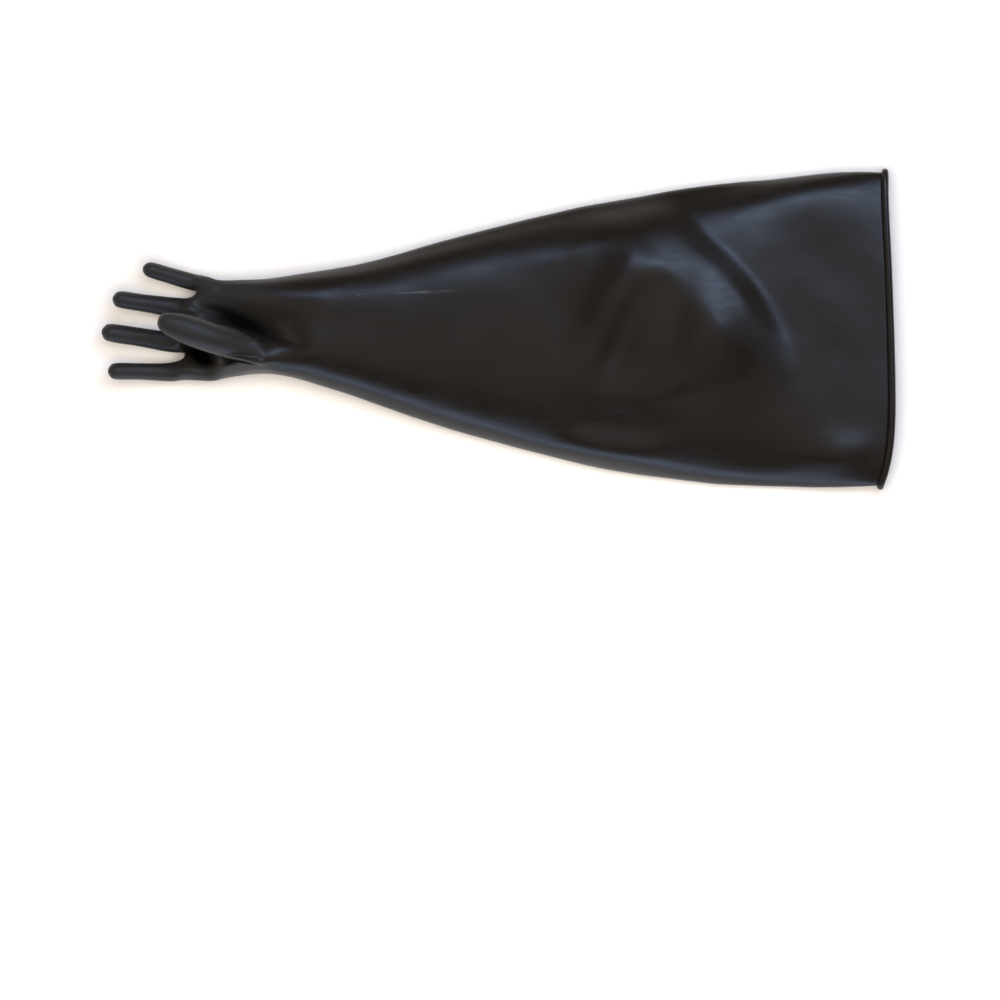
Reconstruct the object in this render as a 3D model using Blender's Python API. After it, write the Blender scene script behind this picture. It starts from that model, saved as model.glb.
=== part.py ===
"""Long latex glove for a round glove port, lying palm up on a flat surface.

+X points to the cuff, +Y to the little finger's side and +Z up. The origin is the middle of the
glove's length and width, on the surface that it lies on. All sizes are in metres.

The film is one hollow shell. A coarse cage of four-sided faces is worked out from the tables below
and adjusted so that its smooth surface passes through the sizes in them. It is smoothed once,
creased by the tables of folds and hollows, and given its wall on the inside. The rolled bead
follows its rim.
"""

import math

import bmesh
import bpy
import numpy as np
from mathutils import Vector

# Film and bead
WALL = 0.0010
BEAD_DIAMETER = 0.0072
BEAD_OUTSET = 0.0011  # how far the roll's middle lies outside the film's middle
BEAD_GRIP = 0.0034  # how far the film's edge reaches into the roll
GAP = 0.0003  # between the film and the roll, all round

# Sleeve, from the wrist to the film's edge at the mouth
SLEEVE_LENGTH = 0.6300
CUFF_WIDTH = 0.3180
SLEEVE_CROWN = 0.0600  # highest point of the puffed forearm
FOLD_SIDE = 0.0180  # height at which the forearm is widest

# Mouth, seen from above: how far its line falls back towards each side
MOUTH_LITTLE_SIDE = 0.0070
MOUTH_INDEX_SIDE = 0.0116
MOUTH_FURTHEST = -0.42  # share of the half width where it lies furthest out
MOUTH_LEVEL = 0.80  # share of the half width beyond which the little finger's side is straight
MOUTH_BENDS = 1.5, 3  # powers of its fall towards the little finger's and the index side
MOUTH_START = 0.9  # share of SLEEVE_LENGTH from which the sleeve takes the mouth's shape

# Palm, from the wrist to the finger roots
PALM_LENGTH = 0.0845
PALM_WIDTH = 0.1060
PALM_CROWN = 0.0400
PALM_CURVE = 2.0, 0.5  # the two powers of the palm's curve, as for an ellipse

# Fingers
FINGER_WIDTH = 0.0180
ROOT_DEPTH = 0.0320  # of the hand at the middle finger's root
FINGER_LIFT = 0.0125  # middle line of a finger where it leaves the palm

# Thumb
THUMB_LENGTH = 0.0900
THUMB_WIDTH = 0.0300
THUMB_RISE = 0.0045  # middle of the thumb's root above the palm's crown

# One row for each section of the sleeve. along is a share of SLEEVE_LENGTH, width and centre of
# CUFF_WIDTH, crown of SLEEVE_CROWN and side of FOLD_SIDE. round and fall are the two powers of the
# top's curve: 2 and 0.5 for an ellipse, more for a flatter top with straighter sides. lift is the
# underside's height, a share of FOLD_SIDE.
SLEEVE_ROWS = (
    # along, width, centre, crown, side, round, fall, lift
    (0.000, 0.303, 0.010, 0.78, 1.20, 2.1, 0.50, 0.20),
    (0.055, 0.341, 0.008, 0.80, 1.15, 2.4, 0.58, 0.13),
    (0.150, 0.433, -0.006, 0.80, 1.00, 3.0, 0.72, 0.00),
    (0.280, 0.592, -0.014, 0.81, 0.90, 3.5, 0.80, 0.00),
    (0.400, 0.722, -0.017, 0.82, 0.82, 4.0, 0.85, 0.00),
    (0.490, 0.808, -0.019, 0.82, 0.78, 4.0, 0.88, 0.00),
    (0.550, 0.855, -0.020, 0.82, 0.76, 4.0, 0.88, 0.00),
    (0.605, 0.891, -0.019, 0.82, 0.74, 4.0, 0.88, 0.00),
    (0.660, 0.925, -0.016, 0.81, 0.72, 4.0, 0.88, 0.00),
    (0.715, 0.950, -0.015, 0.79, 0.70, 4.0, 0.88, 0.00),
    (0.770, 0.968, -0.012, 0.71, 0.70, 6.0, 0.88, 0.00),
    (0.840, 0.986, -0.008, 0.60, 0.72, 8.0, 0.85, 0.00),
    (0.920, 1.002, 0.000, 0.50, 0.76, 8.0, 0.78, 0.00),
    (1.000, 0.996, 0.000, 0.44, 0.84, 5.0, 0.60, 0.00),
)

# One row for each section of the palm, from the finger roots to the wrist. along is a share of
# PALM_LENGTH from the wrist, width and centre of PALM_WIDTH, crown of PALM_CROWN, side and lift of
# FOLD_SIDE. hand is how far the columns of points lie as at the finger roots.
PALM_ROWS = (
    # along, width, centre, crown, side, lift, hand
    (0.71, 0.995, 0.004, 0.88, 0.98, 0.04, 0.90),
    (0.58, 0.950, -0.002, 0.96, 1.05, 0.06, 0.80),
    (0.30, 0.914, 0.020, 1.10, 1.15, 0.14, 0.60),
)

# One row for each rounded swelling or hollow of the palm side: its middle along from the wrist and
# across from the hand's middle line, how far it reaches each way, and its height, as shares of
# PALM_LENGTH, PALM_WIDTH, both again, and PALM_CROWN.
PALM_SWELLINGS = (
    # along, across, reach_along, reach_across, height
    (0.10, -0.25, 0.50, 0.17, 0.14),
    (0.25, 0.10, 0.75, 0.15, -0.20),
)

# One row for each finger, index to little. root is where it leaves the palm, behind the line of
# the roots, and across is its middle line there from the hand's, both shares of PALM_WIDTH. heel
# is how far its root's middle lies to the little finger's side of that line, base its root's
# width, width its own and length its length, all shares of FINGER_WIDTH. deep is the hand's depth
# at its root, a share of ROOT_DEPTH. splay turns it to the little finger's side and curl bends it
# up, in degrees.
FINGERS = (
    # root, across, heel, base, width, length, deep, splay, curl
    (0.000, -0.405, 0.20, 1.34, 0.96, 4.45, 0.88, 0.5, 24.0),
    (0.000, -0.138, 0.20, 1.44, 1.04, 4.85, 1.02, 8.5, 22.0),
    (0.045, 0.186, 0.00, 1.44, 0.96, 4.50, 0.98, 8.5, 24.0),
    (0.115, 0.438, 0.00, 1.02, 0.88, 3.26, 0.74, 16.5, 26.0),
)
# Rings of a finger up to its round end: share of its length, and how far its base's width is kept.
FINGER_RINGS = ((0.17, 0.42), (0.52, 0.04))
# Rings of a round end: distance back from the tip, and width, as shares of the radius there.
TIP_RINGS = ((1.25, 0.98), (0.36, 0.66))

# One row for each ring of the thumb. along is a share of THUMB_LENGTH from its root, width of
# THUMB_WIDTH, depth of the ring's own width. turn is to the little finger's side and pitch up.
THUMB_ROWS = (
    # along, width, depth, turn, pitch
    (0.00, 0.98, 0.80, 16.5, 36.0),
    (0.30, 1.02, 0.84, 17.5, 24.0),
    (0.58, 1.00, 0.88, 18.0, 16.0),
    (0.81, 0.84, 0.90, 18.0, 9.0),
)
THUMB_ALONG = 0.34  # middle of the thumb's root from the wrist, a share of PALM_LENGTH
THUMB_ACROSS = -0.165  # and from the hand's middle line, a share of PALM_WIDTH
THUMB_FOOT = (2, 5)  # columns of the palm between which the thumb grows out of it
THUMB_SHARE = 0.05, 0.6  # share of the thumb in a point between which the palm's hollows leave it

# One row for each fold of the sleeve's upper side. Its line runs through points along the sleeve, as
# shares of SLEEVE_LENGTH, and across it, of half CUFF_WIDTH. height and width are shares of
# SLEEVE_CROWN. Seen from its start, a step or shoulder has its high side on the right.
FOLDS = (
    # kind, height, width, points
    ("step", 0.050, 0.30, ((0.360, 0.52), (0.480, 0.62), (0.533, 0.67), (0.613, 0.74), (0.720, 0.80))),
    ("shoulder", 0.130, 0.30, ((0.570, 0.98), (0.635, 0.74), (0.678, 0.56), (0.722, 0.42), (0.762, 0.24),
                               (0.794, 0.03), (0.812, -0.22), (0.820, -0.46))),
    ("step", 0.035, 0.30, ((1.030, -0.84), (0.918, -0.86), (0.790, -0.88), (0.677, -0.88))),
    ("step", 0.040, 0.28, ((0.640, -0.70), (0.565, -0.70), (0.500, -0.66))),
    ("dent", 0.095, 0.24, ((0.602, 0.44), (0.570, 0.26), (0.543, -0.09), (0.517, -0.30), (0.480, -0.60))),
    ("dent", 0.080, 0.22, ((0.634, 0.44), (0.625, 0.13), (0.610, -0.19), (0.588, -0.68))),
)
# The slope across a shoulder, from its low side to its high one, and where it has each: places in
# its widths from its line, and slopes of its height a width.
SHOULDER = (
    (-0.95, 0.0), (-0.7, 1.0), (0.1, 1.0), (0.5, 0.45), (1.9, 0.40), (2.6, 0.0), (3.3, -0.42), (6.9, -0.42),
    (8.1, 0.0),
)
SHOULDER_STEPS = 400  # steps in which its slope is added up
FOLDS_START, FOLDS_FULL = 0.30, 0.42  # shares of SLEEVE_LENGTH between which the folds set in
FOLD_EDGES = 0.6  # power of a fold's fading towards the sleeve's edges
FOLD_ENDS = 0.35  # share of a fold's line over which it sets in at each end
FOLDED_SLOPES = 0.1, 0.6  # upward share of the surface's normal between which it takes the folds
FOLD_POINTS = 8  # stretches of a fold's line between two of its points

# One row for each hollow of the palm side, as for the folds: points along from the wrist as shares
# of PALM_LENGTH and across from the hand's middle line of PALM_WIDTH, depth and width of PALM_CROWN.
HOLLOWS = (
    # depth, width, points
    (0.20, 0.36, ((1.20, 0.32), (0.70, 0.19), (0.28, 0.08), (-0.14, -0.03), (-0.80, -0.20))),
    (0.30, 0.20, ((0.98, -0.20), (0.84, -0.26), (0.60, -0.38))),
)
HOLLOW_BEND = 1.3  # power of a hollow's fading away from its line, less for a sharper bottom

FINGER_SIDES = 8  # points round a finger
FINGER_COLUMNS = 3  # points across the top of each finger's root, and as many across its underside
COLUMNS = FINGER_COLUMNS * len(FINGERS)
OUTERMOST_COLUMN = 0.93  # share of the palm's half width that no column of it passes
EVEN_COLUMNS = 0.2  # how far the sleeve's columns are evenly spaced and not as on a circle
HAND_FLAT, SLEEVE_FLAT = 0.25, 0.85  # share of the half width over which the underside is level
FLAT_REACHED = 0.30  # share of SLEEVE_LENGTH from which the sleeve's share holds
FIT_ROUNDS = 8  # times that the cage is moved so that its smooth surface has the stated sizes
FIT_STEP = 0.8  # share of what is still missing that each of those rounds makes up
SMOOTHING = 1
SHARPEST = 1.35  # most that the wall's depth at a sharp turn is of WALL
LEVEL = 0.00001  # height up to which a point counts as lying on the surface
BEAD_POINTS = 8  # points round the roll, from one lip of its slot to the other
RUBBER = (0.014, 0.010, 0.008, 1.0)
RUBBER_ROUGHNESS = 0.42


def smoothstep(low, high, value):
    t = min(1.0, max(0.0, (value - low) / (high - low)))
    return t * t * (3 - 2 * t)


def between(rows, at, column):
    """A column's value at a place between the rows of a table, whose first column runs upwards."""
    for before, after in zip(rows, rows[1:]):
        if at <= after[0]:
            t = max(0.0, (at - before[0]) / (after[0] - before[0]))
            return before[column] + t * (after[column] - before[column])
    return rows[-1][column]


def upper_side(f, crown, side, power, fall):
    """Height of the top at a share f of the half width."""
    return side + (crown - side) * max(0.0, 1 - abs(f) ** power) ** fall


def underside(f, flat, low, side):
    """Height of the underside at a share f of the half width: level, then a quarter ellipse."""
    t = max(0.0, (abs(f) - flat) / (1 - flat))
    return low + (side - low) * (1 - math.sqrt(max(0.0, 1 - t * t)))


def sleeve_columns():
    """Lateral shares of the sleeve's columns, closer together towards the side folds."""
    shares = []
    for j in range(1, COLUMNS + 1):
        t = j / (COLUMNS + 1)
        shares.append(EVEN_COLUMNS * (2 * t - 1) - (1 - EVEN_COLUMNS) * math.cos(math.pi * t))
    return shares


def root_middle(finger):
    """Where the middle of a finger's root lies across the hand."""
    across, heel = finger[1], finger[2]
    return across * PALM_WIDTH + heel * FINGER_WIDTH


def hand_columns():
    """Lateral shares of the columns at the finger roots, three for each finger."""
    shares = []
    for finger in FINGERS:
        half = finger[3] * FINGER_WIDTH / 2
        for k in range(1, FINGER_COLUMNS + 1):
            across = root_middle(finger) - half * math.cos(2 * math.pi * k / FINGER_SIDES)
            shares.append(across / (PALM_WIDTH / 2))
    return shares


def section(place, shares, top, bottom, widest):
    """One ring of points: the index side, across the top, the little finger's side, and back below."""
    across_top = [place(f, top(f)) for f in shares]
    across_bottom = [place(f, bottom(f)) for f in reversed(shares)]
    return [place(-1, widest), *across_top, place(1, widest), *across_bottom]


def mouth_fall(f):
    """How far the mouth's line falls back at a share f of the half width."""
    if f > MOUTH_FURTHEST:
        t = (f - MOUTH_FURTHEST) / (MOUTH_LEVEL - MOUTH_FURTHEST)
        return MOUTH_LITTLE_SIDE * min(1.0, t) ** MOUTH_BENDS[0]
    return MOUTH_INDEX_SIDE * ((MOUTH_FURTHEST - f) / (1 + MOUTH_FURTHEST)) ** MOUTH_BENDS[1]


def swelling(x, y):
    """Height of the palm side's swellings and hollows at a place, from the wrist's middle."""
    total = 0.0
    for along, across, reach_along, reach_across, height in PALM_SWELLINGS:
        u = (-x / PALM_LENGTH - along) / reach_along
        v = (y / PALM_WIDTH - across) / reach_across
        total += height * math.exp(-u * u - v * v)
    return total * PALM_CROWN


def sleeve_ring(row):
    along, width, centre, crown, side, power, fall, lift = row
    half = width * CUFF_WIDTH / 2
    at_mouth = smoothstep(MOUTH_START, 1.0, along)
    bead_below_film = BEAD_OUTSET + BEAD_DIAMETER / 2 - WALL / 2 + GAP
    low = lift * FOLD_SIDE + at_mouth * bead_below_film
    widest = side * FOLD_SIDE
    flat = HAND_FLAT + (SLEEVE_FLAT - HAND_FLAT) * smoothstep(0.0, FLAT_REACHED, along)

    def place(f, height):
        x = along * SLEEVE_LENGTH - at_mouth * mouth_fall(f)
        return Vector((x, centre * CUFF_WIDTH + half * f, height))

    def top(f):
        relief = swelling(along * SLEEVE_LENGTH, centre * CUFF_WIDTH + half * f)
        return upper_side(f, crown * SLEEVE_CROWN, widest, power, fall) + relief

    def bottom(f):
        return underside(f, flat, low, widest)

    return section(place, sleeve_columns(), top, bottom, widest)


def palm_ring(row):
    along, width, centre, crown, side, lift, hand = row
    half = width * PALM_WIDTH / 2
    widest = side * FOLD_SIDE

    def place(f, height):
        return Vector((-along * PALM_LENGTH, centre * PALM_WIDTH + half * f, height))

    def top(f):
        relief = swelling(-along * PALM_LENGTH, centre * PALM_WIDTH + half * f)
        return upper_side(f, crown * PALM_CROWN, widest, *PALM_CURVE) + relief

    def bottom(f):
        return underside(f, HAND_FLAT, lift * FOLD_SIDE, widest)

    shares = []
    for at_root, at_sleeve in zip(hand_columns(), sleeve_columns()):
        shares.append(min(OUTERMOST_COLUMN, hand * at_root + (1 - hand) * at_sleeve))
    return section(place, shares, top, bottom, widest)


def tube_ring(centre, side, up, half_width, half_height, count):
    """Points round a tube, from the index side over the top and back below."""
    points = []
    for k in range(count):
        angle = math.pi - 2 * math.pi * k / count
        across = side * (half_width * math.cos(angle))
        points.append(centre + across + up * (half_height * math.sin(angle)))
    return points


def finger_rings(finger):
    """The rings of one finger, its root first, and its tip."""
    root, across, _heel, base, width, length, deep, splay, curl = finger
    reach = length * FINGER_WIDTH
    own, root_width = width * FINGER_WIDTH, base * FINGER_WIDTH
    heading, bend = math.radians(splay), math.radians(curl)
    forward = Vector((-math.cos(heading), math.sin(heading), 0))
    side = Vector((math.sin(heading), math.cos(heading), 0))
    x = -PALM_LENGTH + root * PALM_WIDTH
    start = Vector((x, across * PALM_WIDTH, FINGER_LIFT))

    def place(s):
        angle = bend * s / reach
        out, rise = math.sin(angle), 1 - math.cos(angle)
        return start + forward * (reach / bend * out) + Vector((0, 0, reach / bend * rise)), angle

    def ring_at(s, radius):
        centre, angle = place(s)
        up = Vector((0, 0, math.cos(angle))) - forward * math.sin(angle)
        return tube_ring(centre, side, up, radius, radius, FINGER_SIDES)

    depth = deep * ROOT_DEPTH
    middle = Vector((x, root_middle(finger), depth / 2))
    across_hand, upwards = Vector((0, 1, 0)), Vector((0, 0, 1))
    rings = [tube_ring(middle, across_hand, upwards, root_width / 2, depth / 2, FINGER_SIDES)]
    for share, kept in FINGER_RINGS:
        rings.append(ring_at(share * reach, (own + kept * (root_width - own)) / 2))
    for back, narrowed in TIP_RINGS:
        rings.append(ring_at(reach - back * own / 2, narrowed * own / 2))
    return rings, place(reach)[0]


def thumb_rings(count):
    """The thumb's rings above its foot in the palm, and its tip."""
    x, y = -THUMB_ALONG * PALM_LENGTH, THUMB_ACROSS * PALM_WIDTH
    centre = Vector((x, y, PALM_CROWN + THUMB_RISE))
    rings = []
    last = 0.0
    for along, width, depth, turn, pitch in THUMB_ROWS:
        heading, climb = math.radians(turn), math.radians(pitch)
        level = Vector((-math.cos(heading), math.sin(heading), 0))
        forward = level * math.cos(climb) + Vector((0, 0, math.sin(climb)))
        side = Vector((math.sin(heading), math.cos(heading), 0))
        up = Vector((0, 0, math.cos(climb))) - level * math.sin(climb)
        centre = centre + forward * ((along - last) * THUMB_LENGTH)
        radius = width * THUMB_WIDTH / 2
        rings.append(tube_ring(centre, side, up, radius, radius * depth, count))
        last = along
    tip = centre + forward * ((1 - last) * THUMB_LENGTH)
    back, narrowed = TIP_RINGS[-1]
    narrow = narrowed * radius
    rings.append(tube_ring(tip - forward * (back * radius), side, up, narrow, narrow * depth, count))
    return rings, tip


def join_rings(bm, first, second):
    for k, _ in enumerate(first):
        n = (k + 1) % len(first)
        bm.faces.new((first[k], first[n], second[n], second[k]))


def add_tube(bm, root, rings, tip):
    """Rings of new points from a root that is there, closed by faces round the tip's own point."""
    for points in rings:
        made = [bm.verts.new(p) for p in points]
        join_rings(bm, root, made)
        root = made
    point = bm.verts.new(tip)
    for k in range(0, len(root), 2):
        bm.faces.new((root[k], root[k + 1], root[(k + 2) % len(root)], point))


def root_row(bm, fingers):
    """The row of points at the finger roots: the hand's whole ring, and each finger's own."""
    own = [[bm.verts.new(p) for p in rings[0]] for rings, _ in fingers]
    half = FINGER_SIDES // 2
    top = [v for ring in own for v in ring[1:half]]
    bottom = [v for ring in reversed(own) for v in ring[half + 1:]]
    return [own[0][0], *top, own[-1][half], *bottom], own


def add_thumb(bm, front, middle, back):
    """Opens the palm between two of its columns and two rows, and grows the thumb out of it."""
    first, last = THUMB_FOOT
    foot = [middle[first], *back[first:last + 1], middle[last]]
    foot += reversed(front[first:last + 1])
    bmesh.ops.delete(bm, geom=middle[first + 1:last], context="VERTS")
    rings, tip = thumb_rings(len(foot))
    before = len(bm.verts)
    add_tube(bm, foot, rings, tip)
    thumb = bm.verts.layers.float["thumb"]
    for v in list(bm.verts)[before:]:
        v[thumb] = 1.0


def cage():
    """The glove's coarse outer surface, open at the mouth."""
    bm = bmesh.new()
    bm.verts.layers.float.new("thumb")
    fingers = [finger_rings(f) for f in FINGERS]
    roots, own = root_row(bm, fingers)
    rows = [roots]
    for row in PALM_ROWS:
        rows.append([bm.verts.new(p) for p in palm_ring(row)])
    for row in SLEEVE_ROWS:
        rows.append([bm.verts.new(p) for p in sleeve_ring(row)])
    for first, second in zip(rows, rows[1:]):
        join_rings(bm, first, second)
    for (rings, tip), root in zip(fingers, own):
        add_tube(bm, root, rings[1:], tip)
    half = FINGER_SIDES // 2
    for left, right in zip(own, own[1:]):
        bm.faces.new((left[half - 1], right[1], right[0], left[half]))
        bm.faces.new((left[half], right[0], right[-1], left[half + 1]))
    add_thumb(bm, rows[2], rows[3], rows[4])
    bmesh.ops.recalc_face_normals(bm, faces=bm.faces)
    return bm


def smooth_place(v):
    """Where a point of the cage comes to lie on the smooth surface."""
    if v.is_boundary:
        ends = [e.other_vert(v).co for e in v.link_edges if e.is_boundary]
        return (v.co * 4 + ends[0] + ends[1]) / 6
    near = {e.other_vert(v) for e in v.link_edges}
    n = len(near)
    total = v.co * n * n
    for other in near:
        total = total + other.co * 4
    for face in v.link_faces:
        for corner in face.verts:
            if corner is not v and corner not in near:
                total = total + corner.co
    return total / (n * (n + 5))


def fit_cage(bm):
    """Moves the cage's points until its smooth surface passes through where they were first put."""
    wanted = {v: v.co.copy() for v in bm.verts}
    for _ in range(FIT_ROUNDS):
        moves = {v: wanted[v] - smooth_place(v) for v in bm.verts}
        for v, move in moves.items():
            v.co += move * FIT_STEP


def smoothed(bm):
    """The cage's smooth surface, as a new bmesh."""
    mesh = bpy.data.meshes.new("cage")
    bm.to_mesh(mesh)
    bm.free()
    helper = bpy.data.objects.new("cage", mesh)
    bpy.context.scene.collection.objects.link(helper)
    smooth = helper.modifiers.new("smooth", "SUBSURF")
    smooth.levels = smooth.render_levels = SMOOTHING
    evaluated = helper.evaluated_get(bpy.context.evaluated_depsgraph_get())
    fine = bmesh.new()
    fine.from_mesh(evaluated.to_mesh())
    evaluated.to_mesh_clear()
    bpy.data.objects.remove(helper)
    bpy.data.meshes.remove(mesh)
    return fine


def curve(points, scale):
    """A smooth line through points, each scaled, as an array."""
    places = [np.array(p) * scale for p in points]
    places = [2 * places[0] - places[1], *places, 2 * places[-1] - places[-2]]
    line = []
    for a, b, c, d in zip(places, places[1:], places[2:], places[3:]):
        for k in range(FOLD_POINTS):
            t = k / FOLD_POINTS
            near = (2 * b) + (c - a) * t + (2 * a - 5 * b + 4 * c - d) * t**2
            line.append((near + (3 * b - a - 3 * c + d) * t**3) / 2)
    return np.array([*line, places[-2]])


def nearest(line, places):
    """Share along a line, and distance from it, which is less than nothing on its left."""
    best = np.full(len(places), math.inf)
    share = np.zeros(len(places))
    side = np.ones(len(places))
    for k, (a, b) in enumerate(zip(line, line[1:])):
        step = b - a
        t = np.clip((places - a) @ step / (step @ step), 0, 1)
        away = places - a - t[:, None] * step
        distance = np.hypot(away[:, 0], away[:, 1])
        closer = distance < best
        best = np.where(closer, distance, best)
        share = np.where(closer, (k + t) / (len(line) - 1), share)
        left = step[0] * away[:, 1] - step[1] * away[:, 0] > 0
        side = np.where(closer, np.where(left, -1, 1), side)
    return share, best * side


def fading(share):
    """How far a fold has set in at a share along its line."""
    t = np.clip(np.minimum(share, 1 - share) / FOLD_ENDS, 0, 1)
    return t * t * (3 - 2 * t)


def shoulder(away):
    """Height of a shoulder's section, which is its slope added up."""
    marks, slopes = zip(*SHOULDER)
    grid = np.linspace(marks[0], marks[-1], SHOULDER_STEPS)
    steps = np.interp(grid, marks, slopes) * (grid[1] - grid[0])
    return np.interp(away, grid, np.cumsum(steps))


def fold_heights(places):
    """How far the folds move the sleeve's upper side at each place."""
    total = np.zeros(len(places))
    for kind, height, width, points in FOLDS:
        share, distance = nearest(curve(points, (SLEEVE_LENGTH, CUFF_WIDTH / 2)), places)
        away = distance / (width * SLEEVE_CROWN)
        profile = np.exp(-(away**2))
        if kind == "step":
            profile = away * np.exp((1 - away**2) / 2)
        elif kind == "shoulder":
            profile = shoulder(away)
        elif kind == "dent":
            profile = -profile
        total += height * profile * fading(share)
    return total * SLEEVE_CROWN


def crease(bm):
    """Moves the sleeve's upper side by the folds, less and less towards its two long edges."""
    bm.normal_update()
    folded = [v for v in bm.verts if v.co.x > FOLDS_START * SLEEVE_LENGTH and v.normal.z > FOLDED_SLOPES[0]]
    heights = fold_heights(np.array([v.co.xy for v in folded]))
    for v, height in zip(folded, heights):
        along = v.co.x / SLEEVE_LENGTH
        half = between(SLEEVE_ROWS, along, 1) * CUFF_WIDTH / 2
        middle = between(SLEEVE_ROWS, along, 2) * CUFF_WIDTH
        edge = max(0.0, 1 - ((v.co.y - middle) / half) ** 2)
        ends = smoothstep(FOLDS_START, FOLDS_FULL, along) * smoothstep(1.0, MOUTH_START, along)
        v.co.z += height * edge**FOLD_EDGES * ends * smoothstep(*FOLDED_SLOPES, v.normal.z)


def hollow_palm(bm):
    """Presses the hollows into the palm side, and leaves the thumb above them as it is."""
    thumb = bm.verts.layers.float["thumb"]
    pressed = [v for v in bm.verts if v.co.x < FOLDS_START * SLEEVE_LENGTH and v.normal.z > 0]
    places = np.array([(-v.co.x, v.co.y) for v in pressed])
    total = np.zeros(len(places))
    for depth, width, points in HOLLOWS:
        share, distance = nearest(curve(points, (PALM_LENGTH, PALM_WIDTH)), places)
        away = abs(distance) / (width * PALM_CROWN)
        total += depth * np.exp(-(away**HOLLOW_BEND)) * fading(share)
    for v, depth in zip(pressed, total):
        own = 1 - smoothstep(*THUMB_SHARE, v[thumb])
        v.co.z -= depth * PALM_CROWN * own * smoothstep(*FOLDED_SLOPES, v.normal.z)


def rest_on_surface(bm):
    """Lets nothing dip below the surface, and makes what lies on it one level face."""
    for v in bm.verts:
        v.co.z = max(0.0, v.co.z)
    level = [f for f in bm.faces if all(v.co.z < LEVEL for v in f.verts)]
    for v in {v for f in level for v in f.verts}:
        v.co.z = 0.0
    bmesh.ops.dissolve_faces(bm, faces=level, use_verts=False)


def thicken(bm):
    """Gives the film its wall. Returns the wall's vector, inwards, at each point of the outside."""
    bm.normal_update()
    walls = {v: v.normal * -(WALL * min(v.calc_shell_factor(), SHARPEST)) for v in bm.verts}
    outside = list(bm.faces)
    rim = [e.link_loops[0] for e in bm.edges if e.is_boundary]
    inner = {v: bm.verts.new(v.co + wall) for v, wall in walls.items()}
    edges = [(loop.vert, loop.link_loop_next.vert) for loop in rim]
    for face in outside:
        bm.faces.new([inner[v] for v in reversed(face.verts)])
    for a, b in edges:
        bm.faces.new((b, a, inner[a], inner[b]))
    return walls


def rim_loop(bm):
    """The film's edge at the mouth, in order: each point, and the one behind it on the sleeve."""
    start = next(v for v in bm.verts if v.is_boundary)
    loop, last, here = [], None, start
    while here is not start or not loop:
        ends = {e.other_vert(here): e.is_boundary for e in here.link_edges}
        behind = next(v for v, on_rim in ends.items() if not on_rim)
        loop.append((here, behind))
        last, here = here, next(v for v, on_rim in ends.items() if on_rim and v is not last)
    return loop


def bead_section():
    """Outline of the roll round the film's edge: along the film and out from its middle.

    A slot on the sleeve's side takes the film's edge with a gap on both sides and behind.
    """
    radius = BEAD_DIAMETER / 2
    along, out = radius - BEAD_GRIP, BEAD_OUTSET
    slot = WALL / 2 + GAP
    first = math.pi - math.asin((slot - out) / radius)
    last = -math.pi + math.asin((slot + out) / radius)
    outline = [(GAP, slot)]
    for k in range(BEAD_POINTS):
        a = first + (last - first) * k / (BEAD_POINTS - 1)
        outline.append((along + radius * math.cos(a), out + radius * math.sin(a)))
    return [*outline, (GAP, -slot)]


def add_bead(loop, walls):
    """The rolled bead: its section carried round the film's edge, in line with the film there."""
    bm = bmesh.new()
    outline = bead_section()
    rings = []
    for edge, behind in loop:
        wall = walls[edge]
        along = (edge.co - behind.co).normalized()
        out = wall / -WALL
        middle = edge.co + wall / 2
        rings.append([bm.verts.new(middle + along * u + out * v) for u, v in outline])
    for first, second in zip(rings, rings[1:] + rings[:1]):
        join_rings(bm, first, second)
    bmesh.ops.recalc_face_normals(bm, faces=bm.faces)
    return add_object("cuff_bead", bm)


def rubber(name):
    material = bpy.data.materials.new(name + "_rubber")
    material.use_nodes = True
    shader = material.node_tree.nodes["Principled BSDF"]
    shader.inputs["Base Color"].default_value = RUBBER
    shader.inputs["Roughness"].default_value = RUBBER_ROUGHNESS
    shader.inputs["Metallic"].default_value = 0.0
    return material


def add_object(name, bm):
    mesh = bpy.data.meshes.new(name)
    bm.to_mesh(mesh)
    bm.free()
    mesh.shade_smooth()
    mesh.materials.append(rubber(name))
    piece = bpy.data.objects.new(name, mesh)
    bpy.context.scene.collection.objects.link(piece)
    return piece


def centre_on_surface(pieces):
    """Puts the middle of the whole glove's length and width over the origin."""
    places = [v.co for piece in pieces for v in piece.data.vertices]
    low = [min(p[axis] for p in places) for axis in range(3)]
    high = [max(p[axis] for p in places) for axis in range(3)]
    move = Vector((-(low[0] + high[0]) / 2, -(low[1] + high[1]) / 2, -low[2]))
    for place in places:
        place += move


def main():
    for old in list(bpy.data.objects):
        bpy.data.objects.remove(old)
    coarse = cage()
    fit_cage(coarse)
    film = smoothed(coarse)
    crease(film)
    hollow_palm(film)
    rest_on_surface(film)
    rim = rim_loop(film)
    walls = thicken(film)
    bead = add_bead(rim, walls)
    shell = add_object("glove_shell", film)
    centre_on_surface([shell, bead])


main()
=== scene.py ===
"""Looks of the long latex glove, lying palm up on a pale floor and seen from straight above.

The glove is built again in the way of its source, with a finer smooth surface, folds tuned to the
photograph and a latex material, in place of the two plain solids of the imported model. All sizes are
in metres. Until it is moved into place, the film has its origin below the wrist's middle, at its
underside's level.
"""

import math

import bmesh
import bpy
import numpy as np
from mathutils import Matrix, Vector, noise

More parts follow.
